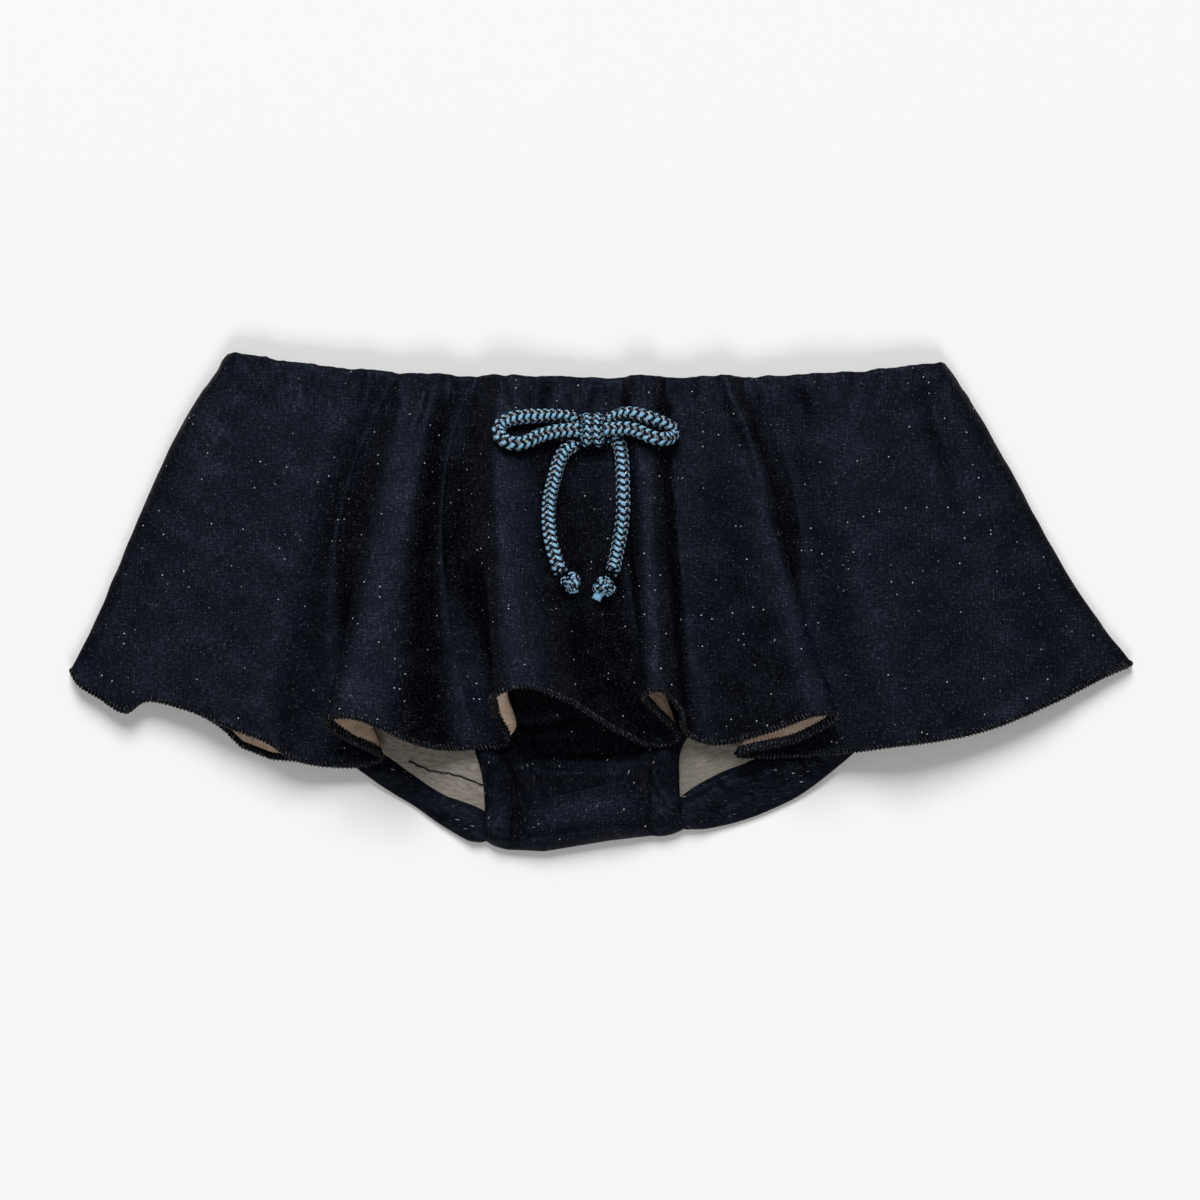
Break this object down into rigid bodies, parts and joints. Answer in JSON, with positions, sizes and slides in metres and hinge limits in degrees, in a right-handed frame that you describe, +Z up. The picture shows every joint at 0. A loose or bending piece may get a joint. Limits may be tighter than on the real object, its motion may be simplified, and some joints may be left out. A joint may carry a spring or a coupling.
{
  "type": "skort",
  "caption": "Toddler's flared sweatshirt-knit skort laid flat, skirt in soft flutes over an attached brief, with a corded bow tacked to the front of the elastic waist.",
  "frame": {"origin": "middle of the laid-out garment's outline, on the surface that it lies on", "axes": "+X to the right along the waist as seen from above, +Y towards the waist, +Z up off the surface"},
  "size_m": [0.3168, 0.1524, 0.0348],
  "materials": {
    "knit": "dark navy melange sweatshirt knit with fine metallic sparkle outside, brushed beige inside",
    "cord": "round braided cord of light blue, navy and silver tinsel strands"
  },
  "bodies": {
    "root": {"skirt_front": "knit", "skirt_back": "knit", "brief_front": "knit", "brief_back": "knit", "gusset": "knit", "leg_band_left": "knit", "leg_band_right": "knit", "bow_loop_left": "cord", "bow_loop_right": "cord", "bow_tail_left": "cord", "bow_tail_right": "cord", "bow_knot": "cord", "tail_knot_left": "cord", "tail_knot_right": "cord"}
  },
  "joints": []
}
